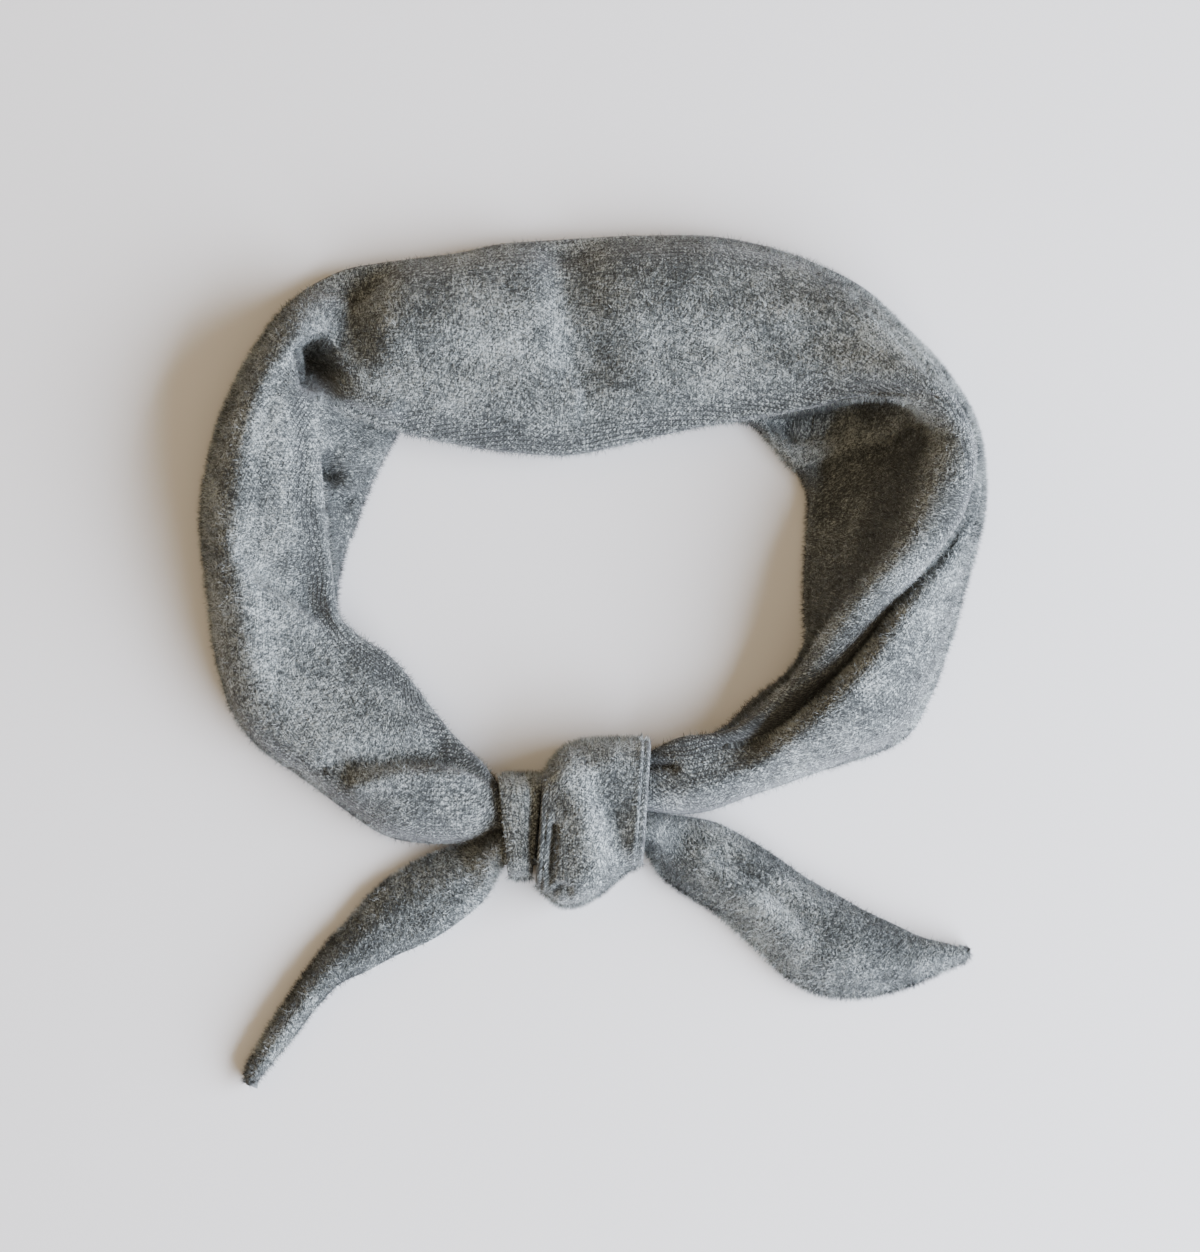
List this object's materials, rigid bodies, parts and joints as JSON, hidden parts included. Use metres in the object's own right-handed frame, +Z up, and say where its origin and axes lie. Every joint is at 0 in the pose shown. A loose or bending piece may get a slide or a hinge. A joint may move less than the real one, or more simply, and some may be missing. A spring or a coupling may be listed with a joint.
{
  "type": "neckerchief",
  "caption": "Neckerchief of felted grey melange knit, folded to a soft band round an open neck loop and tied in a flat knot with two short pointed tails, lying flat.",
  "frame": {"origin": "under the middle of the whole, on the surface that it lies on", "axes": "+X to the right in the picture, +Y from the knot to the back of the neck loop, +Z up"},
  "size_m": [0.2256, 0.2456, 0.0331],
  "materials": {
    "melange_knit_band": "brushed",
    "melange_knit_knot": "brushed",
    "melange_knit_tails": "brushed"
  },
  "bodies": {
    "root": {"neck_band": "melange_knit_band", "knot_wrap_small": "melange_knit_knot", "knot_wrap_large": "melange_knit_knot", "tail_left": "melange_knit_tails", "tail_right": "melange_knit_tails"}
  },
  "joints": []
}
